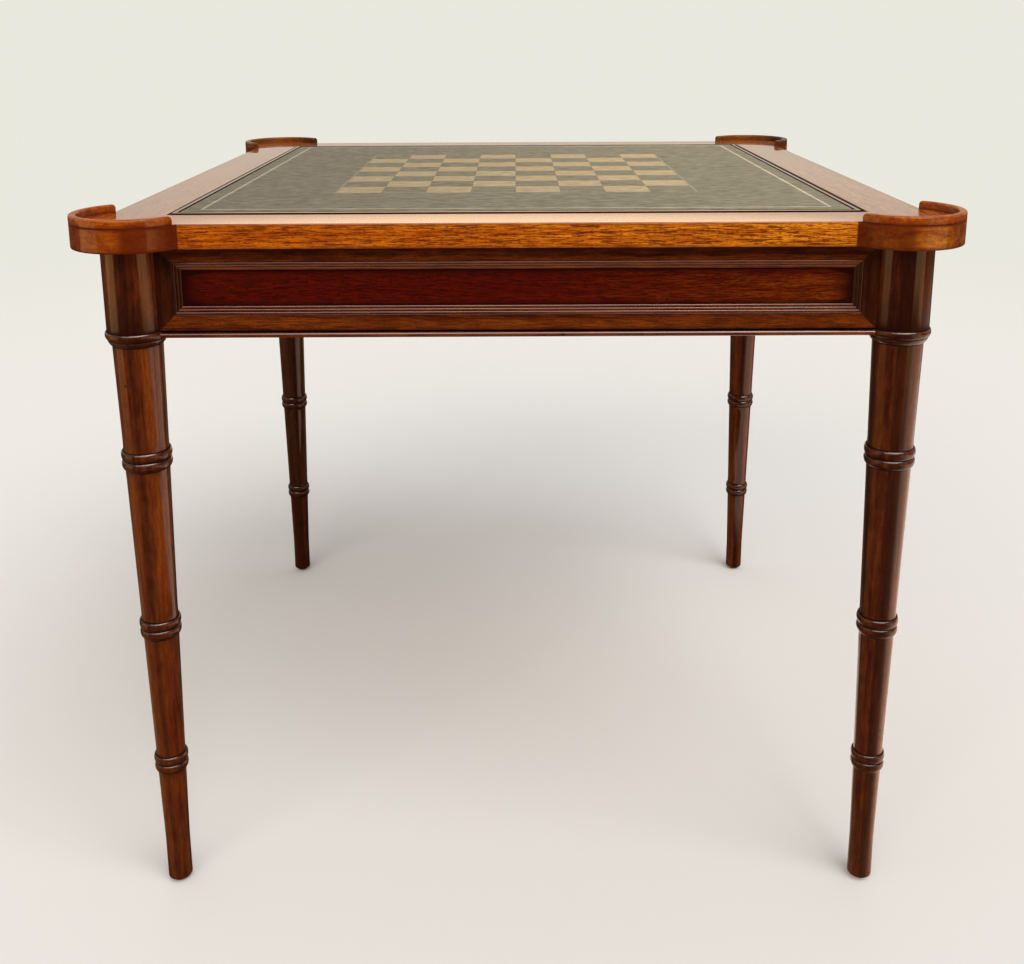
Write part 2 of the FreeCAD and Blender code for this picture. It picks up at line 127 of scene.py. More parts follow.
def leg_patina_and_shade(height):
    """Old dark polish: deep in every groove, fading away from the rings and up from the floor, and even
    over the beads, with painted shade on the underside of each."""
    ring_lows, ring_highs = ring_heights - ring_half, ring_heights + ring_half
    collar_edges = (under_collar_low, collar_low, collar_high)
    grooves = np.concatenate((ring_lows, ring_heights, ring_highs, collar_edges))
    bead_lows = np.concatenate((ring_lows, ring_heights, collar_edges[:2]))
    to_groove = np.abs(height[:, None] - grooves).min(axis=1)
    in_groove = np.exp(-((to_groove / groove_line) ** 2))
    near_ring = np.exp(-to_groove / ring_reach)
    at_floor = np.exp(-(height - foot_bottom) / floor_reach)
    on_ring = np.abs(height[:, None] - ring_heights).min(axis=1) < ring_half
    on_collar = (height > under_collar_low) & (height < collar_high)
    above_low = height[:, None] - bead_lows
    under_bead_shade = ((above_low > 0) & (above_low < bead_shade)).any(axis=1)
    on_bead = bead_patina * (on_ring | on_collar) + bead_shade_patina * under_bead_shade
    settled = in_groove + ring_patina * near_ring + floor_patina * at_floor
    return np.clip(np.maximum(settled, on_bead), 0, 1)


def closed_grid(grid):
    """Quads between the rows of a grid whose rows close on themselves, and a cap on its two end rows."""
    rows, columns = grid.shape[:2]
    index = np.arange(rows * columns).reshape(rows, columns)
    onward = np.roll(index, -1, axis=1)
    quads = np.stack((index[:-1], onward[:-1], onward[1:], index[1:]), axis=-1).reshape(-1, 4)
    return quads, (index[0, ::-1], index[-1])


def make_piece(name, parts, finish, replaced, body="table"):
    """One mesh from parts of (grid, grain, patina and painted shade), smooth except at sharp edges, in
    place of CAD nodes.

    grain holds each point's place in its own plank, with the fibres along the first axis.
    """
    grids, grains, patinas_and_shades = zip(*parts)
    faces, count = [], 0
    for grid in grids:
        quads, caps = closed_grid(grid)
        faces += (quads + count).tolist() + [(cap + count).tolist() for cap in caps]
        count += grid.shape[0] * grid.shape[1]
    points = np.concatenate([grid.reshape(-1, 3) for grid in grids])
    fibres = np.concatenate([grain.ravel() for grain in grains])
    patina_and_shade_values = np.concatenate([patina.ravel() for patina in patinas_and_shades])
    mesh = bpy.data.meshes.new(name)
    mesh.from_pydata(points.tolist(), [], faces)
    mesh.attributes.new("grain", "FLOAT_VECTOR", "POINT").data.foreach_set("vector", fibres)
    # The patina attribute carries real patina and, on several pieces, painted shade and light.
    mesh.attributes.new("patina", "FLOAT", "POINT").data.foreach_set("value", patina_and_shade_values)
    mesh.shade_smooth()
    mesh.set_sharp_from_angle(angle=sharp_angle)
    mesh.materials.append(finish)
    piece = bpy.data.objects.new(name, mesh)
    bpy.context.scene.collection.objects.link(piece)
    piece.modifiers.new("even_shading", "WEIGHTED_NORMAL").keep_sharp = True
    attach(piece, body)
    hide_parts(*replaced)


def feed(tree, node, sockets):
    """Link each named input of a node to a socket, or set it to a value."""
    for key, value in sockets.items():
        if isinstance(value, bpy.types.NodeSocket):
            tree.links.new(value, node.inputs[key])
        else:
            node.inputs[key].default_value = value


def put(tree, kind, sockets, **settings):
    """New shader node with its settings and its inputs."""
    node = tree.nodes.new("ShaderNode" + kind)
    for key, value in settings.items():
        setattr(node, key, value)
    feed(tree, node, sockets)
    return node


def new_group(name, inputs, outputs):
    """Empty shader node group with named sockets, and its input and output nodes."""
    tree = bpy.data.node_groups.new(name, "ShaderNodeTree")
    for direction, sockets in (("INPUT", inputs), ("OUTPUT", outputs)):
        for socket, kind in sockets:
            tree.interface.new_socket(name=socket, in_out=direction, socket_type="NodeSocket" + kind)
    return tree, tree.nodes.new("NodeGroupInput").outputs, tree.nodes.new("NodeGroupOutput").inputs


def stretched_noise(tree, place, along, across, detail, roughness=0.55):
    """Noise on a place scaled by one number along the fibres and another across them."""
    scaled = put(tree, "VectorMath", {0: place, 1: (along, across, across)}, operation="MULTIPLY")
    noise = {"Vector": scaled.outputs[0], "Scale": 1.0, "Detail": detail, "Roughness": roughness}
    return put(tree, "TexNoise", noise).outputs[0]


def ramp(tree, value, low, high, to_low=0.0, to_high=1.0):
    """Value carried smoothly from one range to another and held at its ends."""
    sockets = {"Value": value, "From Min": low, "From Max": high, "To Min": to_low, "To Max": to_high}
    return put(tree, "MapRange", sockets, interpolation_type="SMOOTHSTEP").outputs[0]


def blend(tree, share, first, second, mode="MIX"):
    """Two colours mixed by a share."""
    return put(tree, "Mix", {0: share, 6: first, 7: second}, data_type="RGBA", blend_type=mode).outputs[2]


def clamped(tree, operation, first, *others):
    """Values taken together one after another by an operation, each result held between 0 and 1."""
    result = first
    for value in others:
        result = put(tree, "Math", {0: result, 1: value}, operation=operation, use_clamp=True).outputs[0]
    return result


# How far the fibres sway in metres, how much deep patina and painted shade hide the wood and leave of
# its pores, and how much duller the pores and the patina and painted shade are than the polish.
fibre_sway = 0.012
grime_and_shade_cover = 0.94
pores_left = 0.3
pore_dullness, grime_and_shade_dullness = 0.18, 0.16


def wood_group():
    """Polished wood cut from a plank: long streaks and a shorter figure set the tone between two colours,
    and short dark pores lie along the fibres. Patina, which on some pieces also carries painted shade and
    light, darkens and dulls the wood, in clouds where it is thin, fills the pores, and at its deepest
    takes away the shine."""
    inputs = [("Grain", "Vector"), ("Light", "Color"), ("Dark", "Color"), ("Pore", "Color")]
    inputs += [("Figure", "Float"), ("Pores", "Float"), ("Patina", "Float"), ("Gloss Loss", "Float")]
    outputs = [("Color", "Color"), ("Roughness", "Float"), ("Height", "Float"), ("Shine", "Float")]
    tree, given, result = new_group("wood_grain", inputs, outputs)
    plank, patina = given["Grain"], given["Patina"]
    sway = stretched_noise(tree, plank, along=5.0, across=30.0, detail=2.0)
    bend = put(tree, "CombineXYZ", {"Y": clamped(tree, "MULTIPLY", sway, fibre_sway)})
    waved = put(tree, "VectorMath", {0: plank, 1: bend.outputs[0]}, operation="ADD").outputs[0]
    streak = stretched_noise(tree, waved, along=2.2, across=130.0, detail=5.0, roughness=0.62)
    figure = stretched_noise(tree, waved, along=30.0, across=260.0, detail=4.0)
    tones = {0: given["Figure"], 2: ramp(tree, streak, 0.34, 0.66), 3: ramp(tree, figure, 0.36, 0.64)}
    tone = put(tree, "Mix", tones, data_type="FLOAT").outputs[0]
    ground = blend(tree, tone, given["Dark"], given["Light"])
    coarse = stretched_noise(tree, plank, along=70.0, across=1300.0, detail=2.0)
    fine = stretched_noise(tree, plank, along=220.0, across=2600.0, detail=1.0)
    pits = clamped(tree, "ADD", ramp(tree, coarse, 0.49, 0.57), ramp(tree, fine, 0.52, 0.66))
    unfilled = clamped(tree, "MULTIPLY", given["Pores"], ramp(tree, patina, 0.2, 1.0, 1.0, pores_left))
    pores = clamped(tree, "MULTIPLY", pits, unfilled)
    pored = blend(tree, pores, ground, given["Pore"])
    cloud = stretched_noise(tree, plank, along=60.0, across=140.0, detail=3.0)
    steady = clamped(tree, "MAXIMUM", ramp(tree, cloud, 0.30, 0.62, 0.45, 1.0), patina)
    grime_and_shade = clamped(tree, "MULTIPLY", patina, steady)
    colour = blend(tree, clamped(tree, "MULTIPLY", grime_and_shade, grime_and_shade_cover), pored, given["Pore"])
    dull_pores = clamped(tree, "MULTIPLY", pores, pore_dullness)
    dull_grime_and_shade = clamped(tree, "MULTIPLY", grime_and_shade, grime_and_shade_dullness)
    roughness = clamped(tree, "ADD", given["Gloss Loss"], dull_pores, dull_grime_and_shade)
    tree.links.new(colour, result["Color"])
    tree.links.new(roughness, result["Roughness"])
    tree.links.new(clamped(tree, "SUBTRACT", 1.0, pores), result["Height"])
    tree.links.new(ramp(tree, patina, 0.95, 1.0, 1.0, 0.0), result["Shine"])
    return tree


def knock_group():
    """Small knocks from use: a dot in about half the cells of a scattered pattern, as a mask."""
    inputs = [("Grain", "Vector"), ("Per Metre", "Float")]
    tree, given, result = new_group("knocks", inputs, [("Mask", "Float")])
    sockets = {"Vector": given["Grain"], "Scale": given["Per Metre"], "Randomness": 1.0}
    cells = put(tree, "TexVoronoi", sockets)
    chosen = put(tree, "SeparateColor", {"Color": cells.outputs["Color"]}).outputs["Red"]
    dot = ramp(tree, cells.outputs["Distance"], 0.035, 0.07, 1.0, 0.0)
    tree.links.new(clamped(tree, "MULTIPLY", dot, ramp(tree, chosen, 0.45, 0.55)), result["Mask"])
    return tree


wood_grain = wood_group()
knocks = knock_group()


def new_material(name):
    """Empty material with a Principled shader on its output."""
    material = bpy.data.materials.new(name)
    material.use_nodes = True
    tree = material.node_tree
    tree.nodes.clear()
    shader = put(tree, "BsdfPrincipled", {})
    put(tree, "OutputMaterial", {"Surface": shader.outputs[0]})
    return material, tree, shader


def object_place(tree):
    """Place of a point in the table's own frame."""
    return put(tree, "TexCoord", {}).outputs["Object"]


def part_of(tree, vector, axis):
    """One of a vector's three parts."""
    return put(tree, "SeparateXYZ", {0: vector}).outputs[axis]


def size_of(tree, value):
    """A value without its sign."""
    return put(tree, "Math", {0: value}, operation="ABSOLUTE").outputs[0]


def face_shade_and_tone(tree, place, middle, half_length, half_height, reach):
    """For an upright rectangle: painted shade that grows towards its sides, and the share of its darker
    colour, which is even along one half and falls away along the other."""
    rightward = part_of(tree, place, "X")
    upward = put(tree, "Math", {0: part_of(tree, place, "Z"), 1: middle}, operation="SUBTRACT").outputs[0]
    at_ends = ramp(tree, size_of(tree, rightward), half_length - 4 * reach, half_length)
    at_sides = ramp(tree, size_of(tree, upward), half_height - reach, half_height)
    darker_share = ramp(tree, rightward, 0.0, half_length, 0.9, 0.0)
    return clamped(tree, "ADD", at_ends, at_sides), darker_share


# Upward part of a normal at which a face stops being upright and at which it is turned up, and what is
# different there: the share of pores left, and a painted shade, the share of the next darker colour in
# the light and dark tones.
turned_up = (0.12, 0.45)
upper_pores = 0.6
up_shade_light, up_shade_dark = 0.6, 0.4
knocks_per_metre = 26.0
knock_darkness, knock_depth = 0.75, 0.9
painted_light_reach = 0.4


def polished_wood(
    name, colours, figure, pores, gloss_loss, coats, specular,
    quarter_turns=None, face=None, up_shade=1.0, painted_light_tone=None,
):
    """Lacquered wood with knocks, with one coat on upright faces and another on faces turned up, which have
    fewer open pores and are painted darker, a painted shade against the light from above. The fibres and
    the patina follow the mesh's attributes; the patina also carries painted shade and light. On a CAD node
    the fibres follow the X axis turned by quarter turns, and painted shade lies towards the edges of a
    face of a given middle height and half size. The light tone may turn paler from the table's left to
    its right, a painted light."""
    material, tree, shader = new_material(name)
    light, dark, pore = [(*colour, 1) for colour in colours]
    # Painted light: the light tone turns paler from the table's left to its right.
    if painted_light_tone:
        rightward = part_of(tree, object_place(tree), "X")
        light = blend(tree, ramp(tree, rightward, -painted_light_reach, painted_light_reach), light, (*painted_light_tone, 1))
    if quarter_turns is None:
        grain = put(tree, "Attribute", {}, attribute_name="grain").outputs["Vector"]
        patina = put(tree, "Attribute", {}, attribute_name="patina").outputs["Fac"]
    else:
        turn = (0.0, 0.0, quarter_turns * math.pi / 2)
        grain = put(tree, "Mapping", {"Vector": object_place(tree), "Rotation": turn}).outputs[0]
        patina = 0.0
    if face:
        patina, darker_share = face_shade_and_tone(tree, grain, *face)
        light = blend(tree, darker_share, light, dark)
    upward = part_of(tree, put(tree, "NewGeometry", {}).outputs["Normal"], "Z")
    open_pores = ramp(tree, upward, *turned_up, pores, upper_pores * pores)
    # Painted shade: faces turned up are darkened against the light from above.
    light = blend(tree, ramp(tree, upward, *turned_up, 0.0, up_shade_light * up_shade), light, dark)
    dark = blend(tree, ramp(tree, upward, *turned_up, 0.0, up_shade_dark * up_shade), dark, pore)
    sockets = {"Grain": grain, "Light": light, "Dark": dark, "Pore": pore, "Figure": figure}
    sockets.update({"Pores": open_pores, "Patina": patina, "Gloss Loss": gloss_loss})
    wood = put(tree, "Group", sockets, node_tree=wood_grain).outputs
    marks = put(tree, "Group", {"Grain": grain, "Per Metre": knocks_per_metre}, node_tree=knocks).outputs[0]
    marked = blend(tree, clamped(tree, "MULTIPLY", marks, knock_darkness), wood["Color"], pore)
    dents = clamped(tree, "MULTIPLY", marks, knock_depth)
    height = clamped(tree, "SUBTRACT", wood["Height"], dents)
    bump = put(tree, "Bump", {"Height": height, "Strength": 0.25, "Distance": 0.4 * mm})
    coat = clamped(tree, "MULTIPLY", wood["Shine"], ramp(tree, upward, *turned_up, *coats))
    feed(tree, shader, {"Base Color": marked, "Roughness": wood["Roughness"], "Normal": bump.outputs[0]})
    feed(tree, shader, {"Coat Weight": coat, "Coat Roughness": 0.04, "Specular IOR Level": specular})
    return material


leg_colours = ((0.205, 0.041, 0.0022), (0.066, 0.006, 0.0005), (0.008, 0.0008, 0.0003))
leg_wood = polished_wood(
    "leg_mahogany", leg_colours, figure=0.35, pores=0.35, gloss_loss=0.32,
    coats=(0.45, 1.0), specular=0.05,
)
# Painted shade is deepest on the four sides square to the table and light between them, and each leg
# but the front left one is darkened as a whole by a painted shade of its own, the back left one most.
side_painted_shade = 0.85
side_shade_limit = 0.93
leg_painted_shade = (0.0, 0.55, 0.35, 0.8)
turning_angle = np.arange(turning_steps) * 2 * np.pi / turning_steps
profile = leg_profile()
radius, height = profile[:, :1], profile[:, 1:]
across, depth = radius * np.cos(turning_angle), radius * np.sin(turning_angle)
upright = np.broadcast_to(height, across.shape)
for number, corner in enumerate(corners):
    low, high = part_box("leg_" + corner)
    centre = ((low + high) / 2).to_2d()
    grid = np.stack((centre.x + across, centre.y + depth, upright), axis=-1)
    plank = np.stack((upright + number, across, depth), axis=-1)
    # Painted shade: dark on the four square sides, and over some legs as a whole.
    painted_side_shade = leg_painted_shade[number] + side_painted_shade * np.cos(2 * turning_angle) ** 4
    patina = np.maximum(leg_patina_and_shade(profile[:, 1])[:, None], np.minimum(painted_side_shade, side_shade_limit))
    part = (grid, plank, patina)
    make_piece("turned_leg_" + corner, [part], leg_wood, ["leg_" + corner])

# Nail glides
# A pressed metal dome on a nail is driven up into each foot. Dull nickel, rubbed where it stands on
# the floor.


def worn_metal(name, bright, dull, smooth, rough):
    """Bare metal whose tone and roughness change in small clouds."""
    material, tree, shader = new_material(name)
    noise = stretched_noise(tree, object_place(tree), along=420.0, across=420.0, detail=3.0)
    cloud = ramp(tree, noise, 0.35, 0.65)
    colour = blend(tree, cloud, (*dull, 1), (*bright, 1))
    roughness = ramp(tree, cloud, 0.0, 1.0, rough, smooth)
    feed(tree, shader, {"Base Color": colour, "Roughness": roughness, "Metallic": 1.0})
    return material


def finish_nodes(names, material):
    """Give carried-over CAD nodes their material."""
    for name in names:
        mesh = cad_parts[name].data
        mesh.materials.clear()
        mesh.materials.append(material)


nickel = worn_metal("dull_nickel", (0.62, 0.56, 0.47), (0.30, 0.25, 0.19), smooth=0.32, rough=0.50)
finish_nodes(["foot_glide_" + corner for corner in corners], nickel)

# Apron rails
# Four mahogany boards tenoned into the posts. What shows of each between its mouldings is the recessed
# panel, a figured face of deep red with painted shade along its edges, more golden towards one end.
sides = ("front", "right", "back", "left")
panel_colours = ((0.190, 0.034, 0.0009), (0.074, 0.0022, 0.0002), (0.012, 0.0004, 0.0002))
recess_middle, recess_half_length, recess_half_height = 668.3 * mm, 325 * mm, 18 * mm
# Width of the painted shade along the edges of the recessed panel.
recess_shade_line = 7 * mm
panel_face = (recess_middle, recess_half_length, recess_half_height, recess_shade_line)
for turns in (0, 1):
    panel_wood = polished_wood(
        "panel_mahogany_%d" % turns, panel_colours, figure=0.5, pores=0.7, gloss_loss=0.34,
        coats=(0.06, 0.06), specular=0.04, quarter_turns=turns, face=panel_face,
    )
    finish_nodes(["apron_rail_" + side for side in sides[turns::2]], panel_wood)

# Apron borders
# A flat mitred border is glued round each rail's face, its uprights hollowed to fit the posts and its
# front arrises eased by hand. Polish has darkened the uprights and the mitres, and painted shade lies
# along its edges, widest as painted shadow under the top.
border_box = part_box("apron_border_front")
rail_face = -border_box[1].y
apron_face = -border_box[0].y
border_middle = (border_box[0].z + border_box[1].z) / 2
border_height = border_box[1].z - border_box[0].z
border_width = 16 * mm
border_thickness = apron_face - rail_face
cope_gap = 0.2 * mm
border_easing = 0.5 * mm
# Share of the easing at points that are left sharp
left_sharp = 0.2
# Widths of painted shade along the outer and inner edges, of patina in the mitres, and of painted shadow
# under the top.
outer_shade_line, inner_shade_line, mitre_line = 3.5 * mm, 1.5 * mm, 1.2 * mm
under_top_shadow_line = 13 * mm
border_patina_and_shade = 0.9
easing_steps = 5
plank_step = np.array((0.83, 0.11, 0.07))


def eased(corner_points, easings):
    """Closed profile with each corner rounded: a quadratic blend between two points on its sides."""
    corner = np.array(corner_points)
    reach = np.array(easings)[:, None]
    before = np.roll(corner, 1, axis=0) - corner
    after = np.roll(corner, -1, axis=0) - corner
    start = (corner + reach * before / np.linalg.norm(before, axis=1, keepdims=True))[:, None]
    end = (corner + reach * after / np.linalg.norm(after, axis=1, keepdims=True))[:, None]
    share = np.linspace(0, 1, easing_steps)[None, :, None]
    curve = (1 - share) ** 2 * start + 2 * share * (1 - share) * corner[:, None] + share**2 * end
    return curve.reshape(-1, 2)


def strip(profile, low_end, high_end, shares=(0, 1)):
    """Profile of (across, out) points carried straight along from one end to the other, at given shares.

    The ends are given for each profile point, so that an end can be mitred or hollowed.
    """
    share = np.array(shares)[:, None]
    along = low_end * (1 - share) + high_end * share
    across = np.broadcast_to(profile[:, 0], along.shape)
    out = np.broadcast_to(profile[:, 1], along.shape)
    return np.stack((along, across, out), axis=-1)


def turned(points, steps):
    """Points turned about the upright axis by quarter turns."""
    cosine, sine = ((1, 0), (0, 1), (-1, 0), (0, -1))[steps % 4]
    x, y, z = points[..., 0], points[..., 1], points[..., 2]
    return np.stack((cosine * x - sine * y, sine * x + cosine * y, z), axis=-1)


def post_hollow(out, radius):
    """Half the clear length between two posts at a distance out from the rail's face: a circle's chord."""
    offset = rail_face + out - leg_axis
    return leg_axis - np.sqrt(radius**2 - offset**2)


def onto_apron(points, side):
    """Flat points of (along, up, out) stood on the face of one apron."""
    along, up, out = points[..., 0], points[..., 1], points[..., 2]
    return turned(np.stack((along, -rail_face - out, border_middle + up), axis=-1), side)


def plank_of(strip_points, number):
    """Each strip is cut from another part of the plank."""
    return strip_points + plank_step * number


def mitred_border(side):
    """Two rails and two uprights, mitred at their ends. Edges next to the posts follow the posts.

    Painted shade lies along both edges, widest as painted shadow under the top, patina in the mitres, and
    all over the uprights.
    """
    reach = post_hollow(border_thickness, post_radius + cope_gap)
    square = [(0, 0), (border_width, 0), (border_width, border_thickness)]
    square += [(border_width - inner_shade_line, border_thickness), (outer_shade_line, border_thickness)]
    square += [(0, border_thickness)]
    easings = np.full(len(square), left_sharp)
    easings[[2, 5]] = 1
    profile = eased(square, easings * border_easing)
    hollow = post_hollow(profile[:, 1], post_radius + cope_gap)
    at_inner_edge = 1 - (border_width - profile[:, 0]) / inner_shade_line
    at_mitre = np.array((1, 0, 0, 1))[:, None]
    parts = []
    for number in range(4):
        if number % 2 == 0:
            half = np.minimum(reach - profile[:, 0], hollow)
            section, away = profile, border_height / 2
        else:
            outer_share = np.clip(1 - profile[:, 0] / border_width, 0, 1)
            section = profile + np.stack((outer_share * (reach - hollow), 0 * hollow), axis=-1)
            half, away = border_height / 2 - section[:, 0], reach
        end = mitre_line / (2 * half.max())
        flat = strip(section, -half, half, (0, end, 1 - end, 1))
        at_outer_edge = 1 - profile[:, 0] / (under_top_shadow_line if number == 2 else outer_shade_line)
        at_edge = np.maximum(at_outer_edge, at_inner_edge)
        all_over = number % 2
        patina = border_patina_and_shade * np.clip(np.maximum(at_edge, at_mitre), all_over, 1)
        placed = turned(flat - np.array((0, away, 0)), number)
        parts.append((onto_apron(placed, side), plank_of(flat, 4 * side + number), patina))
    return parts


apron_colours = ((0.185, 0.037, 0.0024), (0.046, 0.003, 0.0004), (0.008, 0.001, 0.0004))
apron_wood = polished_wood(
    "apron_mahogany", apron_colours, figure=0.45, pores=0.55, gloss_loss=0.28,
    coats=(0.15, 0.8), specular=0.06,
)
for number, side in enumerate(sides):
    border = mitred_border(number)
    make_piece("mitred_border_" + side, border, apron_wood, ["apron_border_" + side])

# Panel mouldings
# Three small stepped reeds run round each panel inside the border, planed in one strip and mitred.
# Dark polish has settled in the quirks between the reeds and on the short uprights.
reed_count = 3
reed_width = 2.7 * mm
reed_bulge = 0.8 * mm
reed_step = 1.3 * mm
moulding_set_back = 0.3 * mm
reed_points = 13
quirk_patina, quirk_fade = 0.85, 0.7
reed_upright_patina = 0.95
reed_plank = 0.5


def reeded_profile():
    """Closed section: half-ellipse reeds side by side, each a step lower, and a flat back. Its patina is
    one less a power of the reed's own height, so it is deepest in the quirks."""
    angle = np.linspace(0, np.pi, reed_points)
    reed = np.arange(reed_count)[:, None]
    across = reed_width * (reed + (1 - np.cos(angle)) / 2)
    crown = border_thickness - moulding_set_back - reed_bulge - reed * reed_step
    out = crown + reed_bulge * np.sin(angle)
    front = np.stack((across.ravel(), out.ravel()), axis=-1)[::-1]
    quirk = np.broadcast_to(1 - np.sin(angle) ** quirk_fade, across.shape).ravel()[::-1]
    back = np.array(((0, 0), (reed_count * reed_width, 0)))
    return np.concatenate((back, front)), np.concatenate(((0, 0), quirk_patina * quirk))


def reeded_frame(side):
    """Four strips of the reeded section with mitred ends, inside the border."""
    profile, quirk = reeded_profile()
    half_length = post_hollow(border_thickness, post_radius + cope_gap) - border_width
    half_height = border_height / 2 - border_width
    parts = []
    for number in range(4):
        long, away = (half_length, half_height) if number % 2 == 0 else (half_height, half_length)
        flat = strip(profile, -(long - profile[:, 0]), long - profile[:, 0])
        placed = turned(flat - np.array((0, away, 0)), number)
        all_over = reed_upright_patina * (number % 2)
        patina = np.broadcast_to(np.maximum(quirk, all_over), flat.shape[:2])
        parts.append((onto_apron(placed, side), plank_of(flat, 4 * side + number + reed_plank), patina))
    return parts


reed_wood = polished_wood(
    "reed_mahogany", apron_colours, figure=0.45, pores=0.08, gloss_loss=0.24,
    coats=(0.5, 1.0), specular=0.08,
)
for number, side in enumerate(sides):
    reeds = reeded_frame(number)
    make_piece("reeded_frame_" + side, reeds, reed_wood, ["panel_moulding_" + side])

# Bottom beads
# A half-round bead is glued under the border along each rail, level with the collars of the legs and
# hollowed at its ends to meet them.
bead_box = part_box("apron_bead_front")
bead_height = bead_box[1].z - bead_box[0].z
bead_reach = -bead_box[0].y - rail_face
bead_middle = (bead_box[0].z + bead_box[1].z) / 2
bead_plank = 20
collar_radius = post_radius + 1.9 * mm
# Painted shade under the border, along the top of the bead.
under_border_line, under_border_shade = 0.9 * mm, 0.75


def bottom_bead(side):
    """Half-round nose on a flat tongue, each end cut to the collar's circle. Painted shade under the border
    fades downwards.
    """
    half = bead_height / 2
    angle = np.linspace(-np.pi / 2, np.pi / 2, bead_steps)
    nose = np.stack((half * np.sin(angle), bead_reach - half + half * np.cos(angle)), axis=-1)
    profile = np.concatenate((np.array(((half, 0), (-half, 0))), nose))
    end = post_hollow(profile[:, 1], collar_radius + cope_gap)
    flat = strip(profile, -end, end)
    shade_under_border = under_border_shade * np.exp(-(half - profile[:, 0]) / under_border_line)
    patina = np.broadcast_to(shade_under_border, flat.shape[:2])
    lowered = flat + np.array((0, bead_middle - border_middle, 0))
    return [(onto_apron(lowered, side), plank_of(flat, bead_plank + side), patina)]


for number, side in enumerate(sides):
    bead = bottom_bead(number)
    make_piece("half_round_bead_" + side, bead, reed_wood, ["apron_bead_" + side])

# Corner blocks and their screws
# A plain three-cornered block of secondary wood stiffens each corner behind the leg, glued and held by
# two countersunk steel screws.
poplar_colours = ((0.42, 0.28, 0.14), (0.30, 0.18, 0.08), (0.16, 0.09, 0.04))
poplar_finish = {"figure": 0.15, "pores": 0.2, "gloss_loss": 0.6, "coats": (0.0, 0.0), "specular": 0.3}
poplar = polished_wood("plain_poplar", poplar_colours, **poplar_finish, quarter_turns=0)
steel = worn_metal("screw_steel", (0.50, 0.48, 0.45), (0.24, 0.22, 0.20), smooth=0.36, rough=0.54)
finish_nodes(["corner_block_" + corner for corner in corners], poplar)
finish_nodes(["corner_block_screws", "ledge_screws"], steel)

# Top frame
# Four mahogany rails mitred at 45 degrees with loose tongues, with painted light that makes them redder
# at the left and paler at the right.
# Each ends in half a round lobe over a leg, with a small cove where the lobe leaves the straight edge.
top_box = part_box("top_rail_front")
top_low, top_high = top_box[0].z, top_box[1].z
opening_half = -top_box[1].y
edge_half = 405 * mm
lobe_axis = leg_axis - 4 * mm
lobe_radius = 59.5 * mm
lobe_tip = 1.25 * np.pi
cove_radius = 4 * mm
cove_fade = 1.2 * mm
top_easing = 1 * mm
top_margin = 3.5 * mm
mitre_gap = 0.5 * mm
# Painted shade and light round each lobe, in bands by angle, and dark in the coves.
lobe_degrees = (0, 10, 20, 42, 52, 60, 72, 85, 98)
lobe_shade_tones = (0.95, 0.9, 0.77, 0.77, 0.98, 0.98, 0.95, 0.985, 1.0)
# Painted shade along the straight front faces, darkest at the left and thin at the right, a painted light
# from the right.
edge_painted_shade = (0.32, 0.28, 0.05)
lobe_arris_patina, edge_arris_patina = 1.0, 0.7
top_plank = 40
lobe_points = 40
cove_points = 9
edge_points = 30
to_cove = lobe_radius + cove_radius
cove_drop = edge_half - lobe_axis + cove_radius
cove_along = math.sqrt(to_cove**2 - cove_drop**2)
lobe_end = math.atan2(cove_drop, cove_along)


def lobe_painted_shade(turn):
    """Painted shade and light round a lobe by the angle from its tip: lightest from about 20 to 42 degrees,
    and dark at the tip, past 50 degrees and at the coves."""
    return np.interp(np.degrees(np.abs(turn)), lobe_degrees, lobe_shade_tones)


def rail_outline():
    """Front rail seen from above, run anticlockwise: points, the way into the wood at each, and its patina
    and painted shade.

    Left half: the lobe's arc from the mitre to the cove, then the cove's own arc. The right half is its
    mirror image. The straight front edge lies between them, and the edge of the opening closes the outline.
    """
    lobe = np.linspace(lobe_tip, 2 * np.pi - lobe_end, lobe_points)
    lobe_ray = np.stack((np.cos(lobe), np.sin(lobe)), axis=-1)
    cove = np.linspace(np.pi - lobe_end, np.pi / 2, cove_points)[1:]
    cove_ray = np.stack((np.cos(cove), np.sin(cove)), axis=-1)
    lobe_centre = np.array((-lobe_axis, -lobe_axis))
    cove_centre = lobe_centre + np.array((cove_along, -cove_drop))
    left = np.concatenate((lobe_centre + lobe_radius * lobe_ray, cove_centre + cove_radius * cove_ray))
    left_in = np.concatenate((-lobe_ray, cove_ray))
    mirror = np.array((-1, 1))
    edge_end = -left[-1, 0] - cove_fade
    edge_along = np.linspace(-edge_end, edge_end, edge_points - 2)
    edge = np.stack((edge_along, np.full(edge_points - 2, -edge_half)), axis=-1)
    edge_in = np.tile((0.0, 1.0), (edge_points - 2, 1))
    inner_along = np.linspace(opening_half, -opening_half, edge_points)
    inner = np.stack((inner_along, np.full(edge_points, -opening_half)), axis=-1)
    inner_in = np.tile((0.0, -1.0), (edge_points, 1))
    inner_in[0], inner_in[-1] = (1.0, -1.0), (-1.0, -1.0)
    points = np.concatenate((left, edge, (left * mirror)[::-1], inner))
    points[[0, -1], 0] += mitre_gap / 2
    points[[-edge_points - 1, -edge_points], 0] -= mitre_gap / 2
    inward = np.concatenate((left_in, edge_in, (left_in * mirror)[::-1], inner_in))
    lobe_end_shade = np.concatenate((lobe_painted_shade(lobe - lobe_tip), np.ones(cove_points - 1)))
    face_painted_shade = np.interp(edge_along, (-edge_half, 0, edge_half), edge_painted_shade)
    # The coves and the edge of the opening are dark all over, a painted shade.
    patina = np.concatenate((lobe_end_shade, face_painted_shade, lobe_end_shade[::-1], np.ones(edge_points)))
    return points, inward, patina


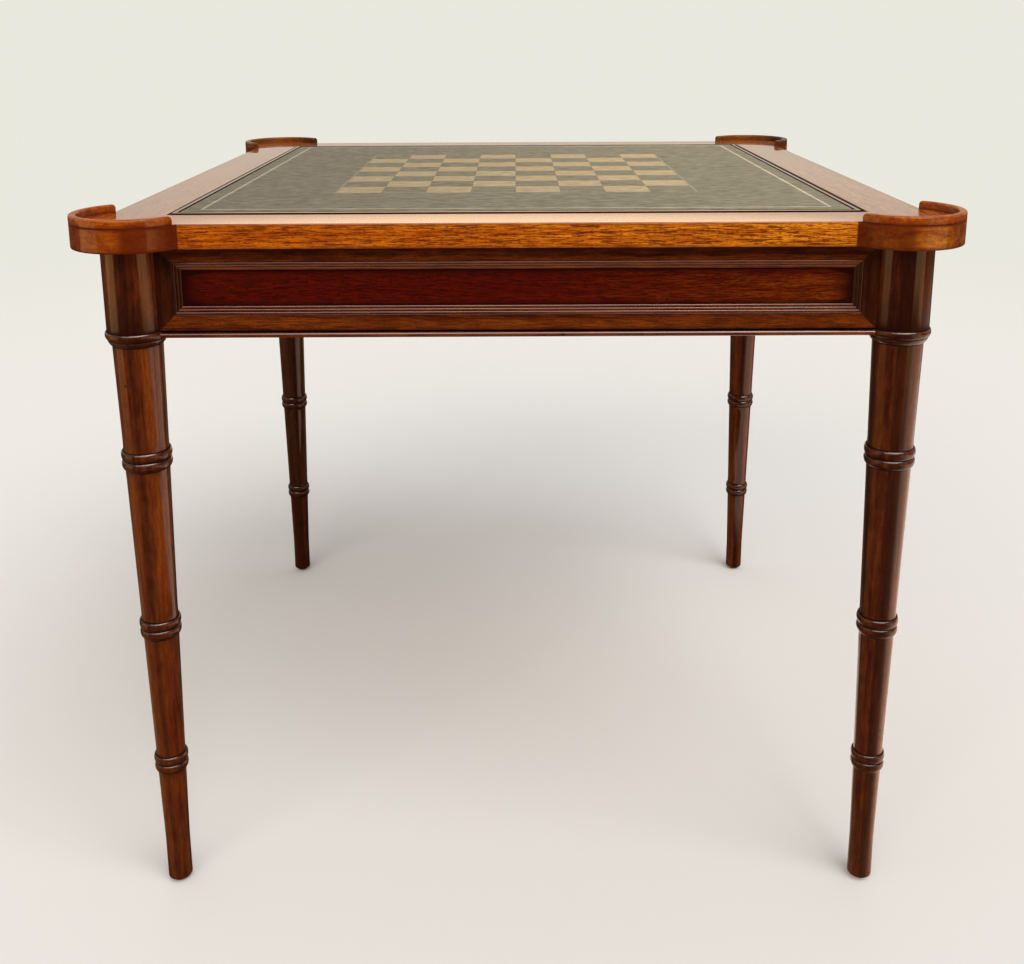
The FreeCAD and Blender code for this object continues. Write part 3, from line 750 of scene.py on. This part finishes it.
def plate(points, inward):
    """Outline raised to a board: rings of it from the underside round eased arrises to the upper face."""
    angle = np.linspace(0, np.pi / 2, easing_steps)
    inset = top_easing * (1 - np.sin(angle))
    rise = top_easing * (1 - np.cos(angle))
    insets = np.concatenate(((top_margin,), inset, (0, 0), inset[::-1], (top_margin,)))
    low_margin, high_margin = top_low + top_margin, top_high - top_margin
    heights = ((top_low,), top_low + rise, (low_margin, high_margin), top_high - rise[::-1], (top_high,))
    heights = np.concatenate(heights)
    flat = points + insets[:, None, None] * inward
    upright = np.broadcast_to(heights[:, None, None], (*flat.shape[:2], 1))
    at_arris = np.concatenate(((0,), np.ones(easing_steps), (0, 0), np.ones(easing_steps), (0,)))
    on_edge = (insets < top_easing).astype(float)
    return np.concatenate((flat, upright), axis=-1), at_arris[:, None], on_edge[:, None]


top_colours = ((0.68, 0.172, 0.003), (0.355, 0.052, 0.001), (0.065, 0.004, 0.0003))
# Light tone at the table's right end, a painted light.
top_painted_light_tone = (0.92, 0.330, 0.014)
top_wood = polished_wood(
    "top_mahogany", top_colours, figure=0.45, pores=0.85, gloss_loss=0.30,
    coats=(0.4, 1.0), specular=0.05, painted_light_tone=top_painted_light_tone,
)
rail_points, rail_inward, rail_patina_and_shade = rail_outline()
board, at_arris, on_edge = plate(rail_points, rail_inward)
arris_patina = np.where(rail_patina_and_shade > max(edge_painted_shade), lobe_arris_patina, edge_arris_patina)
board_patina_and_shade = np.maximum(at_arris * arris_patina, on_edge * rail_patina_and_shade)
for number, side in enumerate(sides):
    part = (turned(board, number), plank_of(board, top_plank + number), board_patina_and_shade)
    make_piece("lobed_rail_" + side, [part], top_wood, ["top_rail_" + side])
finish_nodes(["mitre_tongues"], poplar)

# Corner galleries
# A low fence is bent round the outside of each lobe and glued on, its top rounded over and its two ends
# dying into the coves. The front ones are darkest along the foot. The back ones have a darker, shaded
# copy of the wood, with painted shade and a painted reflection palest near the middle.
gallery_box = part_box("corner_gallery_front_left")
gallery_rise = gallery_box[1].z - gallery_box[0].z
gallery_thickness = 7.5 * mm
gallery_round = 2.4 * mm
gallery_foot_easing = 0.1 * mm
gallery_points = 97
gallery_end_points = 9
gallery_plank = 50
gallery_foot_line, gallery_foot_patina = 1.2 * mm, 0.3
gallery_inside_darkening = 0.85
gallery_top_share = 0.6
back_places = np.array((-50, -25, 0, 18, 34, 50)) * mm
back_shade_tones = (0.5, 0.15, 0.1, 0.5, 0.85, 0.95)
near_end_reach, near_end_shade = 12 * mm, 0.9


def gallery_fence():
    """Rounded section carried round the lobe's arc; near each end its height falls by a quarter circle.
    Its patina and painted shade are the lobe's, darker inside, thicker at the foot, and rubbed thin on top."""
    square = [(0, 0), (gallery_thickness, 0), (gallery_thickness, gallery_rise), (0, gallery_rise)]
    profile = eased(square, [gallery_foot_easing, gallery_foot_easing, gallery_round, gallery_round])
    start, end = np.pi / 2 + lobe_end, 2 * np.pi - lobe_end
    length = (end - start) * lobe_radius
    end_run = gallery_round * (1 - np.cos(np.linspace(0, np.pi / 2, gallery_end_points)))
    middle_run = np.linspace(gallery_round, length - gallery_round, gallery_points)[1:-1]
    run = np.concatenate((end_run, middle_run, length - end_run[::-1]))
    to_end = np.minimum(np.minimum(run, length - run), gallery_round)
    fall = gallery_round - np.sqrt(gallery_round**2 - (gallery_round - to_end) ** 2)
    angle = (start + run / lobe_radius)[:, None]
    radius = lobe_radius - profile[:, 0]
    height = gallery_box[0].z + profile[:, 1] * (1 - fall[:, None] / gallery_rise)
    across, depth = radius * np.cos(angle) - lobe_axis, radius * np.sin(angle) - lobe_axis
    inside = profile[:, 0] > gallery_thickness / 2
    foot = np.exp(-profile[:, 1] / gallery_foot_line)
    rubbed = np.where(profile[:, 1] < gallery_rise - gallery_round, 1.0, gallery_top_share)
    walls = np.maximum(lobe_painted_shade(angle - lobe_tip), gallery_inside_darkening * inside)
    patina = np.clip(rubbed * walls + gallery_foot_patina * foot, 0, 1)
    return np.stack((across, depth, height), axis=-1), patina


def back_painted_shade(points):
    """Painted shade of a back gallery, with a painted reflection: palest near its middle, dark towards its
    right and at its near end.
    """
    rightward = points[..., 0] - (points[..., 0].min() + points[..., 0].max()) / 2
    from_near_end = points[..., 1] - points[..., 1].min()
    at_near_end = np.interp(from_near_end, (0, near_end_reach), (near_end_shade, 0.0))
    return np.maximum(np.interp(rightward, back_places, back_shade_tones), at_near_end)


gallery_finish = {"figure": 0.45, "gloss_loss": 0.30, "coats": (0.4, 0.3), "specular": 0.05, "up_shade": 0.0}
gallery_wood = polished_wood("gallery_mahogany", top_colours, **gallery_finish, pores=0.85)
# Painted shade: a darker copy of the top's colours for the back galleries.
back_shaded_colours = ((0.28, 0.088, 0.010), (0.18, 0.050, 0.005), (0.016, 0.004, 0.001))
shaded_back_gallery_wood = polished_wood("gallery_mahogany_back_shaded", back_shaded_colours, **gallery_finish, pores=0.6)
fence, fence_patina_and_shade = gallery_fence()
for number, corner in enumerate(corners):
    placed = turned(fence, number)
    at_back = corner.startswith("back")
    patina = back_painted_shade(placed) if at_back else fence_patina_and_shade
    finish = shaded_back_gallery_wood if at_back else gallery_wood
    part = (placed, plank_of(fence, gallery_plank + number), patina)
    make_piece("bent_gallery_" + corner, [part], finish, ["corner_gallery_" + corner])

# Panel ledges
# Four strips of secondary wood are screwed to the aprons and the top, and the loose panel rests on
# their inner edges.
poplar_across = polished_wood("plain_poplar_across", poplar_colours, **poplar_finish, quarter_turns=1)
finish_nodes(["panel_ledge_front", "panel_ledge_back"], poplar)
finish_nodes(["panel_ledge_left", "panel_ledge_right"], poplar_across)

# Loose panel
# A plain core with mahogany veneer on the reverse, edged with four mitred lippings that carry painted
# shadow next to the leather and at the gap, and along the whole top of the back one. It lifts straight
# out of the frame to be turned over.
veneer_wood = polished_wood(
    "reverse_veneer", top_colours, figure=0.4, pores=0.6, gloss_loss=0.3,
    coats=(0.4, 0.4), specular=0.2, quarter_turns=0,
)
finish_nodes(["panel_core"], poplar)
finish_nodes(["panel_reverse_veneer"], veneer_wood)
lipping_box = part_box("panel_lipping_front")
panel_middle = (lipping_box[0].x + lipping_box[1].x) / 2
panel_half = (lipping_box[1].x - lipping_box[0].x) / 2
lipping_width = lipping_box[1].y - lipping_box[0].y
lipping_height = lipping_box[1].z - lipping_box[0].z
lipping_easing = 0.4 * mm
lipping_left_sharp = 0.05
lipping_line = 3 * mm
lipping_face = 0.1 * mm
lipping_plank = 60
lipping_colours = ((0.300, 0.070, 0.006), (0.160, 0.026, 0.002), (0.020, 0.009, 0.004))
lipping_wood = polished_wood(
    "lipping_mahogany", lipping_colours, figure=0.3, pores=0.5, gloss_loss=0.28,
    coats=(0.4, 1.0), specular=0.0,
)
square = [(0, 0), (lipping_width, 0), (lipping_width, lipping_height)]
square += [(lipping_width - lipping_line, lipping_height), (0, lipping_height)]
square += [(0, lipping_height - lipping_line)]
easings = np.full(len(square), lipping_left_sharp)
easings[[0, 4]] = 1
profile = eased(square, easings * lipping_easing)
flat = strip(profile, profile[:, 0] - panel_half, panel_half - profile[:, 0])
near_top = profile[:, 1] > lipping_height - lipping_line
by_leather = profile[:, 0] > lipping_width - lipping_line
# Painted shadow: by the leather and at the gap, and along the whole top of the back lipping.
gap_shadow_line = by_leather | (near_top & (profile[:, 0] < lipping_face))
seat = np.array((panel_middle, 0, lipping_box[0].z))
for number, side in enumerate(sides):
    placed = turned(flat - np.array((0, panel_half, 0)), number) + seat
    painted_shadow = near_top if side == "back" else gap_shadow_line
    patina = np.broadcast_to(painted_shadow.astype(float), flat.shape[:2])
    part = (placed, plank_of(flat, lipping_plank + number), patina)
    replaced = ["panel_lipping_" + side]
    make_piece("mitred_lipping_" + side, [part], lipping_wood, replaced, "chess_panel")

# Leather field
# One hide glued down inside the lipping, olive grey with a fine pebbled grain, mottled by years of
# rubbing, and painted lighter towards the right, a painted light.
leather_half = 0.33
# Painted light: the leather and gold are darker at the left and lighter at the right.
left_painted_light, right_painted_light = (0.74, 0.74, 0.74, 1), (1.22, 1.22, 1.22, 1)
small_share = 0.9
pebbles_per_metre = 900.0


def mottle_group():
    """Rubbed mottling: broad soft clouds and small patches, as one mask."""
    tree, given, result = new_group("mottling", [("Place", "Vector")], [("Mask", "Float")])
    broad = stretched_noise(tree, given["Place"], along=18.0, across=40.0, detail=3.0)
    small = stretched_noise(tree, given["Place"], along=55.0, across=170.0, detail=5.0, roughness=0.68)
    both = put(tree, "Mix", {0: small_share, 2: broad, 3: small}, data_type="FLOAT").outputs[0]
    tree.links.new(ramp(tree, both, 0.36, 0.64), result["Mask"])
    return tree


mottling = mottle_group()


def rubbed_finish(name, dark, light, rough, smooth, bump_strength, metallic=0.0, specular=0.5):
    """Surface whose colour and roughness follow the mottling over a fine pebbled grain. Its colour is
    multiplied by a painted light that grows from the table's left to its right."""
    material, tree, shader = new_material(name)
    place = object_place(tree)
    mask = put(tree, "Group", {"Place": place}, node_tree=mottling).outputs["Mask"]
    pebble = put(tree, "TexVoronoi", {"Vector": place, "Scale": pebbles_per_metre}).outputs["Distance"]
    bump = put(tree, "Bump", {"Height": pebble, "Strength": bump_strength, "Distance": 0.3 * mm})
    rightward = ramp(tree, part_of(tree, place, "X"), -leather_half, leather_half)
    painted_light = blend(tree, rightward, left_painted_light, right_painted_light)
    mottled = blend(tree, mask, (*dark, 1), (*light, 1))
    colour = blend(tree, 1.0, mottled, painted_light, "MULTIPLY")
    roughness = ramp(tree, mask, 0.0, 1.0, rough, smooth)
    feed(tree, shader, {"Base Color": colour, "Roughness": roughness, "Normal": bump.outputs[0]})
    feed(tree, shader, {"Metallic": metallic, "Specular IOR Level": specular})
    return material


leather = rubbed_finish(
    "olive_leather", (0.099, 0.090, 0.055), (0.180, 0.165, 0.108), rough=0.62, smooth=0.50,
    bump_strength=0.12, specular=0.35,
)
finish_nodes(["panel_leather"], leather)

# Gold tooling
# Gold leaf pressed flush into the leather with hot tools: a border line, a line round the board, and
# every other square. It shares the leather's wear and painted light; the border line has paled, the
# board's line worn thin.
gold_finishes = {
    "gilt_squares": ("tooled_gold", (0.310, 0.233, 0.110), (0.456, 0.354, 0.182), 0.52, 0.44, 0.35),
    "gilt_border_line": ("paled_gold", (0.36, 0.31, 0.21), (0.52, 0.47, 0.36), 0.46, 0.38, 0.25),
    "gilt_board_line": ("worn_gold", (0.20, 0.175, 0.115), (0.30, 0.265, 0.185), 0.52, 0.44, 0.15),
}
for node, (name, dark, light, rough, smooth, metallic) in gold_finishes.items():
    gold = rubbed_finish(name, dark, light, rough, smooth, bump_strength=0.08, metallic=metallic)
    finish_nodes([node], gold)

# Floor and light
# A wide pale floor melts into a pale backdrop, under a soft sky and one broad soft lamp at the front
# right. Bright and dark areas round the table, which the camera never sees, give the polish its gleam.
pale = (0.82, 0.81, 0.73)
floor_pale = (0.70, 0.68, 0.65)
floor_deep = (0.10, 0.08, 0.06)
floor_warm = (0.42, 0.24, 0.11)
# A patch that glows only in reflections, a painted reflection of sunlight that is no lamp.
floor_painted_glow = (2.6, 1.9, 1.5)
painted_glow_bearing = ((0.7, 1.0), (1.9, 2.2))
floor_near, floor_far = 1.2, 4.0
far_dim = (0.05, 0.05, 0.05)
strip_bright = (2.6, 1.55, 0.65)
strip_count = 3.0
strip_lag = strip_count * math.radians(70)
strip_edge = (0.50, 0.68)
floor_size = 40.0
floor_mesh = bpy.data.meshes.new("floor")
corner_signs = np.array(((-1, -1, 0), (1, -1, 0), (1, 1, 0), (-1, 1, 0)))
floor_mesh.from_pydata((corner_signs * floor_size / 2).tolist(), [], [(0, 1, 2, 3)])
floor = bpy.data.objects.new("floor", floor_mesh)
bpy.context.scene.collection.objects.link(floor)


def bearing_of(tree, direction):
    """Angle of a direction seen from above: nought to the front, and growing towards the right."""
    parts = put(tree, "SeparateXYZ", {0: direction}).outputs
    ahead = put(tree, "Math", {0: parts["Y"], 1: -1.0}, operation="MULTIPLY").outputs[0]
    return put(tree, "Math", {0: parts["X"], 1: ahead}, operation="ARCTAN2").outputs[0]


def between(tree, value, rise, fall):
    """Mask that rises over one stretch of a value and falls over another."""
    return clamped(tree, "MULTIPLY", ramp(tree, value, *rise), ramp(tree, value, *fall, 1.0, 0.0))


def strip_group():
    """Bright and dark sectors round the table: a cosine of its bearing, cut to soft-edged strips."""
    tree, given, result = new_group("studio_strips", [("Direction", "Vector")], [("Mask", "Float")])
    turn = {0: bearing_of(tree, given["Direction"]), 1: strip_count, 2: strip_lag}
    lagged = put(tree, "Math", turn, operation="MULTIPLY_ADD").outputs[0]
    wave = put(tree, "Math", {0: lagged}, operation="COSINE").outputs[0]
    tree.links.new(ramp(tree, wave, *strip_edge), result["Mask"])
    return tree


studio_strips = strip_group()


def floor_finish():
    """Matt and pale near the table, and the backdrop's own colour far off. Reflections find dark and warm
    sectors on it, with a painted glow at the right that is no lamp, and bright strips far off."""
    material = bpy.data.materials.new("pale_floor")
    material.use_nodes = True
    tree = material.node_tree
    tree.nodes.clear()
    place = object_place(tree)
    rays = put(tree, "LightPath", {}).outputs
    sectors = put(tree, "Group", {"Direction": place}, node_tree=studio_strips).outputs["Mask"]
    patches = blend(tree, sectors, (*floor_deep, 1), (*floor_warm, 1))
    matt_colour = blend(tree, rays["Is Glossy Ray"], (*floor_pale, 1), patches)
    matt = put(tree, "BsdfDiffuse", {"Color": matt_colour})
    at_right = between(tree, bearing_of(tree, place), *painted_glow_bearing)
    glow_share = clamped(tree, "MULTIPLY", at_right, rays["Is Glossy Ray"])
    painted_glow = put(tree, "Emission", {"Color": (*floor_painted_glow, 1), "Strength": 1.0})
    near = put(tree, "MixShader", {0: glow_share, 1: matt.outputs[0], 2: painted_glow.outputs[0]})
    strips = blend(tree, sectors, (*far_dim, 1), (*strip_bright, 1))
    far_colour = blend(tree, rays["Is Camera Ray"], strips, (*pale, 1))
    far = put(tree, "Emission", {"Color": far_colour, "Strength": 1.0})
    away = put(tree, "VectorMath", {0: place}, operation="LENGTH").outputs["Value"]
    far_share = ramp(tree, away, floor_near, floor_far)
    surface = put(tree, "MixShader", {0: far_share, 1: near.outputs[0], 2: far.outputs[0]})
    put(tree, "OutputMaterial", {"Surface": surface.outputs[0]})
    return material


floor_mesh.materials.append(floor_finish())
front_dim = (0.16, 0.16, 0.16)
wall_bright = (0.665, 0.655, 0.545)
wall_edge = (-0.15, 0.15)
sky_bright = (0.62, 0.63, 0.65)
sky_mirrored = (0.74, 0.61, 0.53)
sky_edge = (0.2, 0.55)
window_bright = (2.05, 1.52, 0.97)
window_side, behind_edge = (0.24, 0.33), (0.0, 0.1)
window_height = ((0.150, 0.160), (0.175, 0.20))
pane_bright = (4.2, 3.9, 3.5)
pane_bearing = ((-0.8, -0.7), (0.4, 0.5))
pane_height = ((0.34, 0.37), (0.70, 0.74))
glint_bright = (9.0, 6.6, 5.4)
glint_bearing = ((-0.5, -0.3), (0.9, 1.1))
glint_height = ((0.60, 0.70), (0.92, 0.96))


def studio_light():
    """World light by direction: strips in front, a wall behind, and the sky above them. On these lie a low
    window in the wall, a pane high in front, and for reflections alone a glint above the pane."""
    world = bpy.data.worlds.new("studio")
    world.use_nodes = True
    tree = world.node_tree
    tree.nodes.clear()
    outward = put(tree, "TexCoord", {}).outputs["Generated"]
    toward = put(tree, "SeparateXYZ", {0: outward}).outputs
    bearing = bearing_of(tree, outward)
    rays = put(tree, "LightPath", {}).outputs
    sectors = put(tree, "Group", {"Direction": outward}, node_tree=studio_strips).outputs["Mask"]
    front = blend(tree, sectors, (*front_dim, 1), (*sky_bright, 1))
    around = blend(tree, ramp(tree, toward["Y"], *wall_edge), front, (*wall_bright, 1))
    sky = blend(tree, rays["Is Glossy Ray"], (*sky_bright, 1), (*sky_mirrored, 1))
    surround = blend(tree, ramp(tree, toward["Z"], *sky_edge), around, sky)
    window_width = ramp(tree, size_of(tree, toward["X"]), *window_side, 1.0, 0.0)
    behind = ramp(tree, toward["Y"], *behind_edge)
    window_rows = between(tree, toward["Z"], *window_height)
    in_window = clamped(tree, "MULTIPLY", window_width, behind, window_rows)
    surround = blend(tree, in_window, surround, (*window_bright, 1))
    pane_rows = between(tree, toward["Z"], *pane_height)
    in_pane = clamped(tree, "MULTIPLY", between(tree, bearing, *pane_bearing), pane_rows)
    surround = blend(tree, in_pane, surround, (*pane_bright, 1))
    glint_rows = between(tree, toward["Z"], *glint_height)
    glint = between(tree, bearing, *glint_bearing)
    in_glint = clamped(tree, "MULTIPLY", glint, glint_rows, rays["Is Glossy Ray"])
    surround = blend(tree, in_glint, surround, (*glint_bright, 1))
    seen = blend(tree, rays["Is Camera Ray"], surround, (*pale, 1))
    background = put(tree, "Background", {"Color": seen, "Strength": 1.0})
    put(tree, "OutputWorld", {"Surface": background.outputs[0]})
    return world


bpy.context.scene.world = studio_light()
lamp_strength = 1.45
lamp_width, lamp_tilt, lamp_turn = math.radians(40), math.radians(36), math.radians(42)
lamp = bpy.data.objects.new("soft_lamp", bpy.data.lights.new("soft_lamp", "SUN"))
lamp.data.energy = lamp_strength
lamp.data.angle = lamp_width
lamp.rotation_euler = (lamp_tilt, 0.0, lamp_turn)
bpy.context.scene.collection.objects.link(lamp)

# Camera
# A little above the table's height, square to the front, a metre and a half from its middle.
photo_width, photo_height = 1024, 964
focal_pixels = 1149.3
centre_row = 298.0
sensor_width = 36.0
camera_place = (-0.0012, -1.4709, 0.9098)
camera_down, camera_roll, camera_turn = math.radians(13.047), math.radians(0.282), math.radians(0.14)
camera = bpy.data.objects.new("camera", bpy.data.cameras.new("camera"))
camera.data.sensor_width = sensor_width
camera.data.lens = focal_pixels / photo_width * sensor_width
camera.data.shift_y = (centre_row - photo_height / 2) / photo_width
camera.location = camera_place
camera.rotation_euler = (math.pi / 2 - camera_down, camera_roll, camera_turn)
bpy.context.scene.collection.objects.link(camera)
bpy.context.scene.camera = camera
bpy.context.scene.view_settings.view_transform = "Standard"
